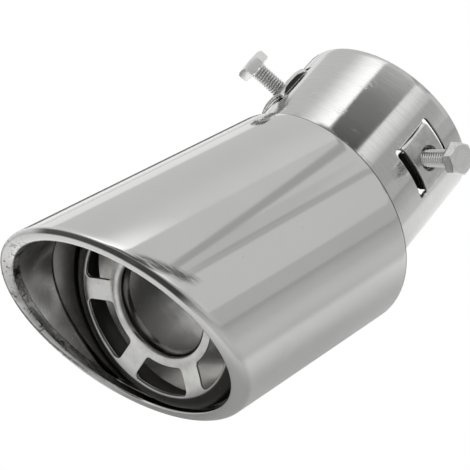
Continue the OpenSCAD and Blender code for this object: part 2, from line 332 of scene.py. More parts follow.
def brushedSteel(finish):
    right, up, along = alongInlet(finish)
    turn, reach = roundAxis(right, up)
    place = finish.vector(right, up, along)
    radius = tip["inletRadius"]
    lines = finish.noise(finish.vector(turn * 0.012, along * 2.6, 0.0), 1.0, 6.0, 0.65)
    hair = finish.noise(finish.vector(turn * 0.05, along * 7.0, 1.0), 1.0, 4.0, 0.7)
    fine = finish.noise(finish.vector(turn * 0.9, along * 0.06, 3.0), 1.0, 5.0, 0.6)
    cloud = finish.noise(place, 0.06, 4.0, 0.55)
    mottle = finish.noise(place, 0.22, 5.0, 0.65)
    crossing = finish.vector(turn * 0.05 + along * 0.4, along * 0.5 - turn * 0.02, 8.0)
    scratch = finish.noise(crossing, 2.4, 2.0, 0.4).near(0.5, 0.004, 0.016)
    scratch = scratch * finish.noise(place, 0.12, 2.0).ramp(0.52, 0.62)
    inside = reach.fade(radius - tip["wall"] + 0.1, radius - 0.35)
    tab = reach.ramp(radius + 0.3, radius + 0.8)

    # painted shadow: a dark lens on the walls at both sides of each tab
    lens = 1.0 - ((along - tip["screwPlace"]) / (inlet["tabLength"] / 2 + 0.05)) ** 2.0
    gapShade = 0.0
    for name, screwTurn in tip["screwTurns"].items():
        away = (turn - (screwTurn - 360.0 if screwTurn > 180.0 else screwTurn)).size()
        side = inlet["tabWidth"] / 2 - away * math.radians(radius)
        gapShade = side.ramp(-0.1, 0.1) * (side - lens * brushed["gapShadeWidths"][name]).fade(-0.15, 0.1) + gapShade
    gapShade = gapShade * lens.ramp(0.0, 0.05)

    # heat marks behind the plate that the inlet is welded to
    shellBack = along * inletAxis.y + up * inletUp.y
    shellUp = along * inletAxis.z + up * inletUp.z
    behindPlate = shellBack - shellUp * tip["rearSlope"]
    burnt = finish.noise(place, 0.5, 4.0, 0.7).ramp(0.28, 0.44)
    scorch = behindPlate.fade(0.5, 5.0) * finish.noise(place, 0.16, 4.0, 0.7).ramp(0.52, 0.66)
    for spotTurn in brushed["burntTurns"]:
        spot = turn.near(spotTurn, 2.0, 8.5) * behindPlate.fade(1.6, 3.8)
        scorch = scorch.most(spot * burnt * 1.5)
    colour = finish.layers(
        brushed["colour"],
        (cloud.ramp(0.3, 0.75) * 0.22, brushed["cloudColour"]),
        (lines.ramp(0.35, 0.75) * 0.18, brushed["lineColour"]),
        (hair.ramp(0.45, 0.7) * 0.34, brushed["hairColour"]),
        (tab * mottle.ramp(0.3, 0.7) * 0.55, brushed["tabColour"]),
        (scorch.least(1.5) * 0.6, brushed["scorch"]),
        # painted shadow along the joint with the rear plate
        (behindPlate.fade(0.3, 1.3) * 0.85, brushed["jointShadow"]),
        # painted shade on the inlet's inner surface
        (inside, brushed["insideShade"]),
        (gapShade, brushed["gapShadeColour"]),
    )
    rough = brushed["roughness"] + lines.sway(0.14) + cloud.sway(0.10) + fine.sway(0.06) + hair.sway(0.14)
    rough = rough + scratch * 0.2 + tab * (mottle * 0.2 + brushed["tabDulness"])
    rough = rough + inside * 0.3 + scorch * 0.15 + gapShade * 0.6
    height = lines * 0.6 + hair * 0.5 + fine * 0.4 + cloud * 0.15 + mottle * tab
    height = height + scratch * brushed["scratches"]
    return finish.metal(colour, rough, finish.bump(height, 0.13, 0.00008), 1.0 - gapShade)


inner = {
    "colour": (0.86, 0.855, 0.84),
    "roughness": 0.20,
    "darkPatch": (0.42, 0.41, 0.39),
    "lowPaintedShade": (0.15, 0.147, 0.14),       # painted shade on the sleeve's lower left
    "spots": (0.06, 0.055, 0.05),
    "linerLight": (0.92, 0.90, 0.87),     # painted light: the liner made lighter between the seam and the grille
    "deepShade": (0.76, 0.75, 0.73),      # painted shade on the liner behind the grille
    "rearColour": (0.86, 0.855, 0.84),     # of the liner's rear half, where the painted shade ends
    "grooveShadow": (0.02, 0.02, 0.02),    # painted shadow in the seam and where the grille meets the liner
}


def innerSteel(finish):
    right, back, up = alongShell(finish)
    turn, _ = roundAxis(right, up)
    place = finish.vector(right, back, up)
    cloud = finish.noise(place, 0.07, 5.0, 0.6)
    rolling = finish.noise(finish.vector(turn * 0.02, back * 1.6, 0.0), 1.0, 5.0, 0.65)
    spots = finish.noise(place, 0.8, 3.0, 0.6).ramp(0.66, 0.73)
    fromSeam = back - seamAt(up)
    face = grille["depth"]
    onLiner = fromSeam.ramp(0.4, 1.2)
    deep = back.ramp(face + 0.5, face + 5.5)
    groove = fromSeam.near(0.2, 0.35, 0.6)
    shoulder = back.near(face + 0.1, 0.8, 2.2) * onLiner
    lowSide = turn.near(-130.0, 18.0, 50.0) * (1.0 - onLiner)
    colour = finish.layers(
        inner["colour"],
        (onLiner, inner["linerLight"]),
        (deep, inner["deepShade"]),
        (back.ramp(34.0, 60.0), inner["rearColour"]),
        (cloud.ramp(0.40, 0.74) * 0.6, inner["darkPatch"]),
        (lowSide * 0.75, inner["lowPaintedShade"]),
        (spots * 0.5, inner["spots"]),
        ((groove + shoulder * 0.8).least(0.9), inner["grooveShadow"]),
    )
    rough = inner["roughness"] + cloud.sway(0.20) + rolling.sway(0.10) + spots * 0.15
    rough = rough + onLiner * (1.0 - deep) * 0.15
    return finish.metal(colour, rough, finish.bump(rolling * 0.8 + cloud * 0.3, 0.14, 0.0001))


satin = {
    "colour": (0.68, 0.68, 0.672),
    "cloudColour": (0.44, 0.43, 0.415),
    "grilleShade": (0.022, 0.021, 0.020),        # painted shade towards the shoulder and on the hub's collar
    "specks": (0.2, 0.19, 0.17),
    "roughness": 0.17,
}


def satinSteel(finish):
    right, back, up = alongShell(finish)
    _, reach = roundAxis(right, up)
    place = finish.vector(right, back, up)
    window, hub = grille["windowRadius"], grille["hubRadius"]
    cloud = finish.noise(place, 0.16, 4.0, 0.6)
    grain = finish.noise(finish.vector(right * 3.0, up * 0.25, back), 1.0, 5.0, 0.6)
    specks = finish.noise(place, 1.3, 3.0, 0.6).ramp(0.67, 0.73)
    shoulder = reach.ramp(window + 0.25, window + 1.0)
    colour = finish.layers(
        satin["colour"],
        (cloud.ramp(0.42, 0.66) * 0.5, satin["cloudColour"]),
        (reach.ramp(window - 2.8, window + 0.4) * 0.35, satin["grilleShade"]),
        (shoulder * 0.97, satin["grilleShade"]),
        (reach.fade(hub + 0.4, hub + 1.4) * 0.8, satin["grilleShade"]),
        (specks * 0.5, satin["specks"]),
    )
    rough = satin["roughness"] + cloud.sway(0.2) + grain.sway(0.15) + specks * 0.2 + shoulder * 0.22
    return finish.metal(colour, rough, finish.bump(grain * 0.7 + cloud * 0.4, 0.18, 0.0001))


zinc = {
    "colour": (0.86, 0.86, 0.852),
    "cloudColour": (0.58, 0.575, 0.565),
    "grainColour": (0.3, 0.29, 0.27),
    "paintedShade": (0.06, 0.058, 0.054),         # painted shade in the thread roots and over the nuts under the tabs
    "roughness": 0.20,
}


def zincPlate(finish):
    cloud = finish.noise(finish.place(), 260.0, 4.0, 0.6)
    grain = finish.noise(finish.place(), 1500.0, 4.0, 0.65)
    paintedShade = finish.node("Attribute", {"attribute_name": "paintedShade"}, out="Fac")
    colour = finish.layers(
        zinc["colour"],
        (cloud.ramp(0.45, 0.75) * 0.3, zinc["cloudColour"]),
        (grain.ramp(0.6, 0.75) * 0.25, zinc["grainColour"]),
        (paintedShade * 0.9, zinc["paintedShade"]),
    )
    rough = zinc["roughness"] + cloud.sway(0.20) + grain.sway(0.12)
    return finish.metal(colour, rough, finish.bump(grain + cloud * 0.5, 0.10, 0.00004))


weld = {
    "colour": (0.36, 0.34, 0.32),
    "scorch": (0.10, 0.085, 0.075),
    "brightGrain": (0.5, 0.46, 0.4),
    "roughness": 0.45,
}


def weldMetal(finish):
    cloud = finish.noise(finish.place(), 420.0, 5.0, 0.7)
    grain = finish.noise(finish.place(), 2600.0, 3.0, 0.6)
    colour = finish.layers(
        weld["colour"],
        (cloud.ramp(0.4, 0.6), weld["scorch"]),
        (grain.ramp(0.6, 0.7) * 0.4, weld["brightGrain"]),
    )
    rough = weld["roughness"] + cloud.sway(0.3)
    return finish.metal(colour, rough, finish.bump(cloud + grain * 0.4, 0.5, 0.0002))


# Meshes from rings of points

class Skin:                    # the points and faces of a piece
    def __init__(self):
        self.points = []
        self.faces = []

    def ring(self, points):            # adds the points and gives their numbers
        start = len(self.points)
        self.points += points
        return list(range(start, len(self.points)))

    def tube(self, rows, closed=False, before=(), after=()):     # quads from ring to ring
        rings = [*before, *(self.ring(row) for row in rows), *after]
        for one, two in zip(rings, rings[1:] + rings[:1] if closed else rings[1:]):
            for i in range(len(one)):
                j = (i + 1) % len(one)
                self.faces.append((one[i], one[j], two[j], two[i]))
        return rings

    def cap(self, ring):
        self.faces.append(tuple(ring))


def meshPiece(name, skin, slotName, node, body="tip", sharp=42.0, paintedShade=None):
    mesh = bpy.data.meshes.new(name)
    mesh.from_pydata([(Vector(point) - rimCentre) * 0.001 for point in skin.points], [], skin.faces)
    mesh.validate()
    mesh.update()
    mesh.shade_smooth()
    mesh.set_sharp_from_angle(angle=math.radians(sharp))
    mesh.materials.append(finishes[slotName])
    if paintedShade:                          # painted shade, one amount for each point, from 0 to 1
        mesh.attributes.new("paintedShade", "FLOAT", "POINT").data.foreach_set("value", paintedShade)
    faceOutwards(mesh)
    piece = bpy.data.objects.new(name, mesh)
    scene.collection.objects.link(piece)
    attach(piece, body)
    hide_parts(node)
    print("made", name, len(mesh.polygons), "faces")


def faceOutwards(mesh):
    work = bmesh.new()
    work.from_mesh(mesh)
    bmesh.ops.remove_doubles(work, verts=work.verts, dist=1e-7)
    bmesh.ops.recalc_face_normals(work, faces=work.faces)
    work.to_mesh(mesh)
    work.free()
    mesh.update()


def circlePoint(radius, back, turn):
    return Vector((radius * math.cos(turn), back, radius * math.sin(turn)))


def wallRows(steps, row):      # rings along a sheet's one face, side 1, and back along the other, side 0
    return [row(i / steps, 1) for i in range(steps + 1)] + [row(1 - i / steps, 0) for i in range(steps + 1)]


def slashAt(point):            # how far back the mouth's plane lies there
    return point.x * tip["slashX"] + point.z * tip["slashZ"]


def rearAt(point):             # and the shell's rear plane
    return tip["shellLength"] + point.z * tip["rearSlope"]


shell = {
    "around": 360,
    "along": 40,
    "rollRadius": 2.9,         # outside of the lip
    "noseRadius": 1.5,         # mouth side of the lip
    "hemRound": 0.5,
    "hemSupport": 0.01,        # of a row before that rounding, which keeps the wall's shading flat
    "hemWaviness": 0.35,
    "hemWaves": 4.0,
    "rearRound": 0.9,
}


def buildShell():
    outside, wall = tip["shellRadius"], tip["wall"]
    mouth, hem = tip["mouthRadius"], tip["hemLength"]
    roll, nose = shell["rollRadius"], shell["noseRadius"]
    hemRound, rearRound = shell["hemRound"], shell["rearRound"]
    turns = fullTurn(shell["around"])

    def frontRow(radius, back):
        onHem = back > hem - hemRound - 0.1 and radius < mouth + wall + 0.1
        row = [circlePoint(radius, 0, turn) for turn in turns]
        for point, turn in zip(row, turns):
            ripple = noise.noise(Vector((*polar(shell["hemWaves"], turn), 1.7))) if onHem else 0.0
            point.y = back + slashAt(point) + shell["hemWaviness"] * ripple
        return row

    def rearRow(radius, back):          # back is counted from the rear plane towards the mouth
        row = [circlePoint(radius, 0, turn) for turn in turns]
        for point in row:
            point.y = rearAt(point) - back
        return row

    def between(first, last):
        steps = shell["along"]
        return [[a.lerp(b, i / steps) for a, b in zip(first, last)] for i in range(1, steps)]

    front = arc(outside - roll, roll, roll, 0, -90, 14)
    front += arc(mouth + nose, nose, nose, -90, -180, 10)
    front += [(mouth, mix(nose, hem, 0.5)), (mouth, hem - hemRound - shell["hemSupport"])]
    front += arc(mouth + hemRound, hem - hemRound, hemRound, 180, 90, 3)
    front += arc(mouth + wall - hemRound, hem - hemRound, hemRound, 90, 0, 3)
    front += [(mouth + wall, nose + 0.6)]
    front += arc(outside - roll, roll, roll - wall, -110, 0, 8)
    rear = [(outside - wall, 0.0), *arc(outside - rearRound, rearRound, rearRound, 270, 360, 6)]
    frontRows = [frontRow(radius, back) for radius, back in front]
    rearRows = [rearRow(radius, back) for radius, back in rear]
    rows = frontRows + between(frontRows[-1], rearRows[0])
    rows += rearRows + between(rearRows[-1], frontRows[0])
    skin = Skin()
    skin.tube(rows, closed=True)
    meshPiece("shellSkin", skin, "polished_steel", "outer_shell")


sleeve = {
    "around": 288,
    "along": 18,
    "frontRadius": 36.55,      # just outside the lip's hem
    "rearRadius": 34.3,
    "seamDepth": 8.55,
    "seamSlope": -0.24193,
    "seamGap": 0.45,
    "leastLength": 0.6,
    "taperLength": 7.0,        # below this length the sleeve stays behind the liner
}


def seamAt(up):                # how far back the seam of sleeve and liner lies, at that height
    return sleeve["seamDepth"] + sleeve["seamSlope"] * up


def buildSleeve():
    wide = sleeve["frontRadius"]

    def row(t, side):                   # t runs from the hem to the seam
        points = []
        for turn in fullTurn(sleeve["around"]):
            edge = circlePoint(wide, 0, turn)
            front = tip["hemLength"] - tip["wall"] + slashAt(edge)
            seam = seamAt(edge.z)
            radius = mix(wide, sleeve["rearRadius"], ease(0, sleeve["taperLength"], seam - front))
            back = mix(front, max(seam, front + sleeve["leastLength"]), t)
            points.append(circlePoint(mix(wide, radius, t) + tip["wall"] * side, back, turn))
        return points

    skin = Skin()
    skin.tube(wallRows(sleeve["along"], row), closed=True)
    meshPiece("mouthSleeve", skin, "inner_steel", "mouth_sleeve")


liner = {
    "around": 288,
    "along": 40,
    "hemGap": 0.1,
}


def buildLiner():
    def row(t, side):                   # t runs from the seam to the rear plate
        radius = tip["linerRadius"] + tip["wall"] * side
        points = [circlePoint(radius, 0, turn) for turn in fullTurn(liner["around"])]
        for point in points:
            hemEnd = tip["hemLength"] + slashAt(point)
            front = max(seamAt(point.z) + sleeve["seamGap"], hemEnd + liner["hemGap"])
            point.y = mix(front, rearAt(point) - tip["plateThickness"], t)
        return points

    skin = Skin()
    skin.tube(wallRows(liner["along"], row), closed=True)
    meshPiece("innerLiner", skin, "inner_steel", "inner_liner")


# Flat sheets with holes, triangulated before they are bent

def triangulate(loops, extra, keep):   # fills the plane between the loops where keep allows a triangle
    points, edges, starts = [], [], []
    for loop in loops:
        start = len(points)
        starts.append(start)
        points += loop
        edges += [(start + i, start + (i + 1) % len(loop)) for i in range(len(loop))]
    points += extra
    spots, _, triangles, origins, _, _ = delaunay_2d_cdt([Vector(p) for p in points], edges, [], 0, 1e-5)
    spots = [(p.x, p.y) for p in spots]
    place = {source: i for i, sources in enumerate(origins) for source in sources}
    kept = []
    for triangle in triangles:
        x = sum(spots[i][0] for i in triangle) / 3
        y = sum(spots[i][1] for i in triangle) / 3
        if keep(x, y):
            kept.append(tuple(triangle))
    rings = [[place[start + i] for i in range(len(loop))] for start, loop in zip(starts, loops)]
    return spots, kept, rings


def insideAny(x, y, loops):
    for loop in loops:
        hit = False
        for (ax, ay), (bx, by) in zip(loop, loop[1:] + loop[:1]):
            if (ay > y) != (by > y) and x < (bx - ax) * (y - ay) / (by - ay) + ax:
                hit = not hit
        if hit:
            return True
    return False


def twoFaces(skin, front, rear, triangles):    # a sheet's front and rear, of the same triangles
    for a, b, c in triangles:
        skin.faces += [(front[a], front[b], front[c]), (rear[a], rear[c], rear[b])]


def roundedEdge(piece):        # how much a hole's rim is grown, at each depth, from face to face
    edge, bevel, thick = piece["edgeRound"], piece["edgeBevel"], piece["thickness"]
    return (bevel, bevel), (0.0, edge), (0.0, thick - edge), (bevel, thick - bevel)


grille = {
    "around": 300,
    "depth": 18.5,             # of the hub ring's face
    "thickness": 1.2,
    "dish": 2.4,
    "dishStart": 19.55,
    "dishEnd": 30.6,
    "shoulder": 4.4,
    "flange": 7.0,
    "hubRadius": 16.5,
    "hubEdge": 20.35,          # outside of the hub ring
    "hubRound": 1.8,
    "collar": 5.0,
    "windows": 6,
    "spoke": 7.5,
    "windowRadius": 28.8,
    "corner": 1.6,
    "firstSpoke": 3.7,         # its angle
    "edgeRound": 0.26,
    "edgeBevel": 0.08,
    "endRound": 0.2,           # of the flange's and the collar's end
}


def spun(x, y, angle):
    return x * math.cos(angle) - y * math.sin(angle), x * math.sin(angle) + y * math.cos(angle)


def windowLoop(middle, grow):          # closed outline of the window at that angle, grown by so much
    outer, hub = grille["windowRadius"] + grow, grille["hubEdge"] - grow
    corner = grille["corner"] + grow
    rise = grille["spoke"] / 2 - grow + corner     # of the corners' centres, the spoke lying along x
    outX = math.sqrt((outer - corner) ** 2 - rise ** 2)
    inX = math.sqrt((hub + corner) ** 2 - rise ** 2)
    outAngle, inAngle = math.atan2(rise, outX), math.atan2(rise, inX)
    sector = 2 * math.pi / grille["windows"]
    outside = bow(outX, rise, corner, -math.pi / 2, outAngle, 6)
    inside = bow(inX, rise, corner, inAngle + math.pi, 1.5 * math.pi, 6)
    sideStart, sideEnd = Vector(inside[-1]), Vector(outside[0])
    flank = inside + [tuple(sideStart.lerp(sideEnd, i / 5)) for i in range(1, 5)]
    loop = outside + bow(0, 0, outer, outAngle, sector - outAngle, 26)[1:-1]
    loop += [spun(x, -y, sector) for x, y in reversed(flank + outside)]
    loop += bow(0, 0, hub, sector - inAngle, inAngle, 18)[1:-1] + flank
    return [spun(x, y, middle - sector / 2) for x, y in loop]


def grilleDepth(x, y):
    dished = ease(grille["dishStart"], grille["dishEnd"], math.hypot(x, y))
    return grille["depth"] - grille["dish"] * dished


def buildGrille():
    thick, shoulder, end = grille["thickness"], grille["shoulder"], grille["endRound"]
    flangeRadius = tip["linerRadius"] - 0.05
    faceEdge = flangeRadius - shoulder
    hubStart = grille["hubRadius"] + grille["hubRound"]
    turns = fullTurn(grille["around"])
    sector = 360 / grille["windows"]
    middles = [math.radians(grille["firstSpoke"] + sector * (k + 0.5)) for k in range(grille["windows"])]
    grown = grille["edgeRound"], 0.55, 0.95        # rims, points that support them, a limit for others
    rims, support, guard = ([windowLoop(m, grow) for m in middles] for grow in grown)
    circles = [[polar(radius, a) for a in turns] for radius in (faceEdge, hubStart)]
    extra = []
    for ring in range(1, 12):
        radius = mix(hubStart, faceEdge, ring / 12)
        spots = [polar(radius, a) for a in turns[::2]]
        extra += [(x, y) for x, y in spots if not insideAny(x, y, guard)]
    extra += [p for loop in support for p in loop if math.hypot(*p) < faceEdge - 0.3]

    def keep(x, y):
        return hubStart < math.hypot(x, y) < faceEdge and not insideAny(x, y, rims)

    spots, triangles, rings = triangulate(circles + rims, extra, keep)
    skin = Skin()
    face = skin.ring([Vector((x, grilleDepth(x, y), y)) for x, y in spots])
    rear = skin.ring([Vector((x, grilleDepth(x, y) + thick, y)) for x, y in spots])
    twoFaces(skin, face, rear, triangles)

    def closeRim(ring, rows):           # from the face's ring, by the rows, to the same ring on the rear
        skin.tube(rows, before=[[face[i] for i in ring]], after=[[rear[i] for i in ring]])

    def turned(section):
        return [[circlePoint(radius, back, a) for a in turns] for radius, back in section]

    for middle, ring in zip(middles, rings[2:]):
        rows = []
        for grow, down in roundedEdge(grille):
            loop = windowLoop(middle, grow)
            rows.append([Vector((x, grilleDepth(x, y) + down, y)) for x, y in loop])
        closeRim(ring, rows)
    bendBack = grilleDepth(faceEdge, 0) + shoulder
    flangeEnd = bendBack + grille["flange"]
    section = arc(faceEdge, bendBack, shoulder, -90, 0, 12)[1:]
    section += [(flangeRadius, flangeEnd - end), (flangeRadius - end, flangeEnd)]
    section += [(flangeRadius - thick + end, flangeEnd), (flangeRadius - thick, flangeEnd - end)]
    section += arc(faceEdge, bendBack, shoulder - thick, 0, -90, 8)[:-1]
    closeRim(rings[0], turned(section))
    hub, turnIn = grille["hubRadius"], grille["hubRound"]
    bendBack = grille["depth"] + turnIn
    collarEnd = grille["depth"] + grille["collar"]
    section = arc(hubStart, bendBack, turnIn, -90, -180, 8)[1:]
    section += [(hub, collarEnd - end), (hub + end, collarEnd), (hub + thick - end, collarEnd)]
    section += [(hub + thick, bendBack)]
    section += arc(hubStart, bendBack, turnIn - thick, 180, 270, 4)[1:-1]
    closeRim(rings[1], turned(section))
    meshPiece("windowedGrille", skin, "satin_steel", "grille", sharp=60.0)


inlet = {
    "around": 288,
    "thickness": tip["wall"],
    "tabLength": 13.7,
    "tabWidth": 19.4,          # with its side walls
    "tabLift": 1.5,            # of a tab's face past the inlet's
    "foldWidth": 1.3,          # of the side walls' slope
    "foldLines": (-1.4, -1.1, -0.8, -0.5, -0.2, 0.1, 0.5),      # of points, from a tab's side outwards
    "slotWidth": 2.4,
    "slotPast": 0.4,
    "holeRadius": 4.2,
    "insideShell": 1.4,        # how far the inlet starts in front of the rear plane
    "bandStart": 17.0,         # the stretch of the inlet that holds the tabs
    "bandEnd": 40.0,
    "seamTurn": 76.5,          # where that stretch is cut open to be unrolled
    "edgeRound": 0.16,
    "edgeBevel": 0.048,
    "rimRound": 0.3,
    "rimBevel": 0.08,
    "turnedEdge": 4.4,         # depth of the edge turned in at a tab's front
    "turnedWidth": 15.6,
    "turnedSheet": 1.0,
    "turnedCorner": 1.5,
}
tabRadius = tip["inletRadius"] + inlet["tabLift"]


def outwardAt(turn):           # away from the inlet's axis, at that many degrees
    a = math.radians(turn)
    return Vector((math.cos(a), 0, 0)) + inletUp * math.sin(a)


def alongToRear(spot, back=0.0):       # along the inlet's axis to a plane so far before the shell's end
    return (rearAt(spot) - back - spot.y) / (inletAxis.y - tip["rearSlope"] * inletAxis.z)


def inletPoint(turn, along, deep):     # turn in degrees; deep is counted inwards
    radius, halfWidth = tip["inletRadius"], inlet["tabWidth"] / 2
    rise = 0.0
    onTab = abs(along - tip["screwPlace"]) < (inlet["tabLength"] + inlet["slotWidth"]) / 2
    for screwTurn in tip["screwTurns"].values():
        away = (turn - screwTurn + 180) % 360 - 180
        if onTab and abs(away) < 40:
            side = abs(radius * math.sin(math.radians(away)))
            rise = inlet["tabLift"] * ease(halfWidth, halfWidth - inlet["foldWidth"], side)
    return inletStart + inletAxis * along + outwardAt(turn) * (radius + rise - deep)


def slotLoop(side, grow):      # outline, sideways and along, of the slot at a tab's front, -1, or rear, 1
    half = inlet["slotWidth"] / 2 + grow
    run = inlet["tabWidth"] / 2 + inlet["slotPast"] - inlet["slotWidth"] / 2
    middle = tip["screwPlace"] + side * (inlet["tabLength"] + inlet["slotWidth"]) / 2
    across = [mix(run, -run, i / 24) for i in range(1, 24)]
    loop = arc(run, middle, half, -90, 90, 8) + [(x, middle + half) for x in across]
    return loop + arc(-run, middle, half, 90, 270, 8) + [(-x, middle - half) for x in across]


def holeLoop(grow):
    return arc(0, tip["screwPlace"], inlet["holeRadius"] + grow, 0, 360, 36)[:-1]


def addTurnedEdge(skin, screwTurn):    # the sheet turned in under a tab's front edge
    outward = outwardAt(screwTurn)
    halfWidth, corner, steps = inlet["turnedWidth"] / 2, inlet["turnedCorner"], 20
    top = tabRadius - tip["wall"] + 0.1
    bottom = tabRadius - tip["wall"] - inlet["turnedEdge"]
    front = tip["screwPlace"] - inlet["tabLength"] / 2 + 0.06
    rear = front + inlet["turnedSheet"]
    rows = []
    for i in range(steps + 1):
        side = mix(-halfWidth, halfWidth, i / steps)
        fall = max(0.0, abs(side) - halfWidth + corner)        # the lower corners are round
        low = bottom + corner - math.sqrt(max(0.0, corner ** 2 - fall ** 2))
        high = math.sqrt(top ** 2 - side ** 2)
        base = inletStart + inletAxis.cross(outward) * side
        section = (front, low), (front, high), (rear, high), (rear, low)
        rows.append([base + inletAxis * along + outward * height for along, height in section])
    rings = skin.tube(rows)
    skin.cap(rings[0])
    skin.cap(reversed(rings[-1]))


def buildInlet():
    radius, wall, count = tip["inletRadius"], tip["wall"], inlet["around"]
    scale = math.radians(radius)       # millimetres round the inlet for a degree
    seam = inlet["seamTurn"]

    def unrolled(loop, screwTurn):
        middle = screwTurn if screwTurn < seam else screwTurn - 360
        return [((middle + math.degrees(math.asin(side / radius))) * scale, along) for side, along in loop]

    cuts = []
    for screwTurn in tip["screwTurns"].values():
        for make in (lambda grow: slotLoop(-1, grow), lambda grow: slotLoop(1, grow), holeLoop):
            cuts.append(lambda grow, make=make, turn=screwTurn: unrolled(make(grow), turn))
    edge = inlet["edgeRound"]
    rims, support, guard = ([cut(grow) for cut in cuts] for grow in (edge, edge + 0.35, edge + 0.75))
    low, high = (seam - 360) * scale, seam * scale
    first, last = inlet["bandStart"], inlet["bandEnd"]
    along = [mix(first, last, i / 22) for i in range(23)]
    across = [mix(low, high, i / count) for i in range(count + 1)]
    outline = [(x, first) for x in across] + [(high, y) for y in along[1:-1]]
    outline += [(x, last) for x in reversed(across)] + [(low, y) for y in reversed(along[1:-1])]
    extra = [(x, y) for x in across[1:-1] for y in along[1:-1] if not insideAny(x, y, guard)]
    lines = [tip["screwPlace"] + s * 0.6 for s in range(-10, 11)]
    for screwTurn in tip["screwTurns"].values():
        for fold in inlet["foldLines"]:
            for side in (-1, 1):
                sideways = side * (inlet["tabWidth"] / 2 + fold)
                extra += unrolled([(sideways, y) for y in lines], screwTurn)
    extra += [p for loop in support for p in loop]

    def keep(x, y):
        return low < x < high and first < y < last and not insideAny(x, y, rims)

    spots, triangles, rings = triangulate([outline, *rims], extra, keep)
    skin = Skin()
    outer = skin.ring([inletPoint(x / scale, y, 0.0) for x, y in spots])
    under = skin.ring([inletPoint(x / scale, y, wall) for x, y in spots])
    twoFaces(skin, outer, under, triangles)
    for cut, ring in zip(cuts, rings[1:]):
        rows = []
        for grow, deep in roundedEdge(inlet):
            rows.append([inletPoint(x / scale, y, deep) for x, y in cut(grow)])
        skin.tube(rows, before=[[outer[i] for i in ring]], after=[[under[i] for i in ring]])

    turns = [x / scale for x in across[:-1]]
    starts = [alongToRear(inletStart + outwardAt(t) * radius, inlet["insideShell"]) for t in turns]

    def straightRow(along, deep):
        return [inletPoint(t, along, deep) for t in turns]

    def leaningRow(k, deep):            # k is 0 where the inlet starts and 1 where the tabs' stretch does
        return [inletPoint(t, mix(start, first, k), deep) for t, start in zip(turns, starts)]

    skin.tube([leaningRow(i / 16, 0.0) for i in range(17)])
    end, rim, bevel = tip["inletLength"], inlet["rimRound"], inlet["rimBevel"]
    section = [(mix(last, end, share), 0.0) for share in (0.0, 0.33, 0.66)]
    section += [(end - rim, 0.0), (end - bevel, bevel), (end, rim)]
    section += [(end, wall - rim), (end - bevel, wall - bevel), (end - rim, wall)]
    section += [(mix(last, end, 0.5), wall), (last, wall)]
    skin.tube([straightRow(along, deep) for along, deep in section])
    skin.tube([leaningRow(1 - i / 10, wall) for i in range(11)] + [leaningRow(0, 0.0)])
    for screwTurn in tip["screwTurns"].values():
        addTurnedEdge(skin, screwTurn)
    meshPiece("brushedInlet", skin, "brushed_steel", "inlet", sharp=60.0)


plate = {
    "around": 240,
    "across": 8,
    "shellPlay": 0.02,
    "inletPlay": 0.05,
    "setBack": 0.12,           # of its rear face from the shell's rear plane
}


def buildEndPlate():
    outer = tip["shellRadius"] - tip["wall"] - plate["shellPlay"]
    hole = tip["inletRadius"] + plate["inletPlay"]

    def row(t, side):                   # t runs from the shell to the inlet; side 1 is the front face
        back = tip["plateThickness"] if side else plate["setBack"]
        points = []
        for turn in fullTurn(plate["around"]):
            edge = circlePoint(outer, 0, turn)
            edge.y = rearAt(edge) - back
            spot = inletStart + outwardAt(math.degrees(turn)) * hole
            points.append(edge.lerp(spot + inletAxis * alongToRear(spot, back), t))
        return points

    skin = Skin()
    skin.tube(wallRows(plate["across"], row), closed=True)
    meshPiece("rearPlate", skin, "inner_steel", "end_plate")


screws = {
    "around": 48,
    "headAround": 120,
    "diameter": 5.95,
    "root": 5.0,
    "pitch": 1.0,
    "length": 20.0,
    "pointLength": 0.9,
    "threadShade": 0.5,
    "acrossFlats": 10.0,
    "headHeight": 4.0,
    "discShare": 0.955,        # the head's round face, of its width across flats
    "standOff": 10.1,
    "headTurns": {"right": 12.0, "left": 30.0, "lower": 5.0},
}


def screwPoint(name, x, y, up):        # x round the inlet, y along it, up from the tab's face
    outward = outwardAt(tip["screwTurns"][name])
    centre = inletStart + inletAxis * tip["screwPlace"]
    return centre + outward * (tabRadius + up) + inletAxis.cross(outward) * x + inletAxis * y


def threadRows():              # rings from the point up to the head, and the painted shade of each of their points
    length, full = screws["length"], screws["diameter"] / 2
    pointStart = screws["pointLength"] - length
    steps = int(length / screws["pitch"] * 10)
    rows, paintedShade = [], []
    for step in range(steps + 1):
        height = length * step / steps - length
        row = []
        for a in fullTurn(screws["around"]):
            phase = (height / screws["pitch"] - a / (2 * math.pi)) % 1.0
            tooth = min(1.0, max(0.0, 1.15 - abs(phase - 0.5) * 2.5))
            radius = mix(screws["root"] / 2, full, tooth)
            radius = min(radius, full - max(0.0, pointStart - height) * 0.8)
            radius = mix(radius, full * 0.99, ease(-1.2, -0.5, height))
            row.append((*polar(radius, a), height))
            paintedShade.append(screws["threadShade"] * (1 - tooth) * ease(-0.6, -1.2, height))
        rows.append(row)
    return rows, paintedShade


def headRows(turn):            # rings from under the head over its flats to the middle of its face
    flats, top = screws["acrossFlats"] / 2, screws["headHeight"]
    disc, sixth = flats * screws["discShare"], math.pi / 3
    columns = []
    for a in fullTurn(screws["headAround"]):
        reach = flats / math.cos((a + sixth / 2) % sixth - sixth / 2)      # to the hexagon's outline
        low = (reach - flats) * 0.3
        high = top - (reach - disc) * 0.58
        section = [(screws["diameter"] / 2 * 0.98, 0.0), (reach - 0.55, 0.0)]
        section += [(reach - 0.08, low + 0.08), (reach, low + 0.3)]
        section += [(reach, high - 0.12), (reach - 0.12, high - 0.02)]
        section += [(disc, top - 0.05), (disc - 0.25, top), (disc - 0.9, top - 0.12)]
        columns.append([(*polar(radius, a + turn), z) for radius, z in section])
    rows = [list(row) for row in zip(*columns)]
    return rows + shrunk(rows[-1], 0.75, 0.4, 0.02)


def shrunk(row, *shares):      # copies of a ring, nearer to the screw's axis
    return [[(x * share, y * share, z) for x, y, z in row] for share in shares]


